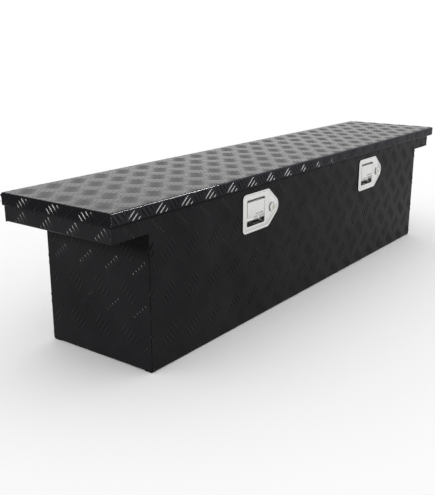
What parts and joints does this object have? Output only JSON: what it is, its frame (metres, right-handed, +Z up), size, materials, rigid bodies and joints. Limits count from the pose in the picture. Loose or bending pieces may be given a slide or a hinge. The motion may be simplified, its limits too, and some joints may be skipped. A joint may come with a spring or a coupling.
{
  "type": "truck tool box",
  "caption": "Long black tread-plate tool box that spans a truck's bed rails, with a hinged lid, gas struts and paddle latches.",
  "frame": {"origin": "bottom centre of the whole box, on the surface that it stands on", "axes": "+X along the length to the right end seen from the front, +Y from the front panel to the hinge side, +Z up"},
  "size_m": [1.778, 0.356, 0.41],
  "materials": {
    "black_coat": "gloss black powder coat over tread plate",
    "stainless": "polished stainless",
    "bare_aluminium": "mill finish",
    "zinc_plate": "bright zinc plate",
    "lock_nickel": "nickel plate",
    "seal_rubber": "matte",
    "strut_black": "satin black",
    "hard_chrome": "polished"
  },
  "bodies": {
    "box": {"front_panel": "black_coat", "back_panel": "black_coat", "floor_panel": "black_coat", "end_left": "black_coat", "end_right": "black_coat", "rim_front": "black_coat", "rim_back": "black_coat", "rim_left": "black_coat", "rim_right": "black_coat", "weather_seal": "seal_rubber", "hinge_leaf_box": "zinc_plate", "hinge_pin": "zinc_plate", "latch_dish_left": "stainless", "latch_gasket_left": "seal_rubber", "paddle_pin_left": "zinc_plate", "hook_bracket_left": "zinc_plate", "hook_pin_left": "zinc_plate", "hook_spring_left": "zinc_plate", "lock_housing_left": "stainless", "lock_nut_left": "zinc_plate", "strut_foot_left": "zinc_plate", "latch_dish_right": "stainless", "latch_gasket_right": "seal_rubber", "paddle_pin_right": "zinc_plate", "hook_bracket_right": "zinc_plate", "hook_pin_right": "zinc_plate", "hook_spring_right": "zinc_plate", "lock_housing_right": "stainless", "lock_nut_right": "zinc_plate", "strut_foot_right": "zinc_plate"},
    "lid": {"lid_pan": "black_coat", "hinge_leaf_lid": "zinc_plate", "lid_brace_left": "bare_aluminium", "lid_brace_centre": "bare_aluminium", "lid_brace_right": "bare_aluminium", "striker_left": "zinc_plate", "strut_head_left": "zinc_plate", "striker_right": "zinc_plate", "strut_head_right": "zinc_plate"},
    "paddle_body_left": {"paddle_left": "stainless"},
    "hook_body_left": {"latch_hook_left": "zinc_plate"},
    "lock_body_left": {"lock_plug_left": "lock_nickel", "lock_cam_left": "zinc_plate"},
    "strut_body_left": {"strut_tube_left": "strut_black"},
    "rod_body_left": {"strut_rod_left": "hard_chrome"},
    "paddle_body_right": {"paddle_right": "stainless"},
    "hook_body_right": {"latch_hook_right": "zinc_plate"},
    "lock_body_right": {"lock_plug_right": "lock_nickel", "lock_cam_right": "zinc_plate"},
    "strut_body_right": {"strut_tube_right": "strut_black"},
    "rod_body_right": {"strut_rod_right": "hard_chrome"}
  },
  "joints": [
    {"name": "lid_hinge", "type": "hinge", "parent": "box", "child": "lid", "pos_m": [0, 0.1733, 0.403], "axis": [-1, 0, 0], "range_deg": [0, 75]},
    {"name": "paddle_left_pull", "type": "hinge", "parent": "box", "child": "paddle_body_left", "pos_m": [-0.338, -0.1587, 0.3334], "axis": [-1, 0, 0], "range_deg": [0, 32], "stiffness_Nm_per_rad": 0.4},
    {"name": "hook_left_turn", "type": "hinge", "parent": "box", "child": "hook_body_left", "pos_m": [-0.338, -0.1027, 0.3194], "axis": [1, 0, 0], "range_deg": [0, 32.5]},
    {"name": "lock_left_turn", "type": "hinge", "parent": "box", "child": "lock_body_left", "pos_m": [-0.259, -0.165, 0.3049], "axis": [0, 1, 0], "range_deg": [0, 90]},
    {"name": "strut_left_swing", "type": "hinge", "parent": "box", "child": "strut_body_left", "pos_m": [-0.737, 0.0883, 0.171], "axis": [-1, 0, 0], "range_deg": [0, 12.5]},
    {"name": "strut_left_extend", "type": "slide", "parent": "strut_body_left", "child": "rod_body_left", "axis": [0, -0.0935, 0.9956], "range_m": [0, 0.1175]},
    {"name": "paddle_right_pull", "type": "hinge", "parent": "box", "child": "paddle_body_right", "pos_m": [0.338, -0.1587, 0.3334], "axis": [-1, 0, 0], "range_deg": [0, 32], "stiffness_Nm_per_rad": 0.4},
    {"name": "hook_right_turn", "type": "hinge", "parent": "box", "child": "hook_body_right", "pos_m": [0.338, -0.1027, 0.3194], "axis": [1, 0, 0], "range_deg": [0, 32.5]},
    {"name": "lock_right_turn", "type": "hinge", "parent": "box", "child": "lock_body_right", "pos_m": [0.417, -0.165, 0.3049], "axis": [0, 1, 0], "range_deg": [0, 90]},
    {"name": "strut_right_swing", "type": "hinge", "parent": "box", "child": "strut_body_right", "pos_m": [0.737, 0.0883, 0.171], "axis": [-1, 0, 0], "range_deg": [0, 12.5]},
    {"name": "strut_right_extend", "type": "slide", "parent": "strut_body_right", "child": "rod_body_right", "axis": [0, -0.0935, 0.9956], "range_m": [0, 0.1175]}
  ],
  "couplings": [
    {"joint": "hook_left_turn", "follows": "paddle_left_pull", "ratio": 1},
    {"joint": "strut_left_swing", "follows": "lid_hinge", "ratio": 0.16288},
    {"joint": "strut_left_extend", "follows": "lid_hinge", "m_per_rad": 0.089328},
    {"joint": "hook_right_turn", "follows": "paddle_right_pull", "ratio": 1},
    {"joint": "strut_right_swing", "follows": "lid_hinge", "ratio": 0.16288},
    {"joint": "strut_right_extend", "follows": "lid_hinge", "m_per_rad": 0.089328}
  ]
}
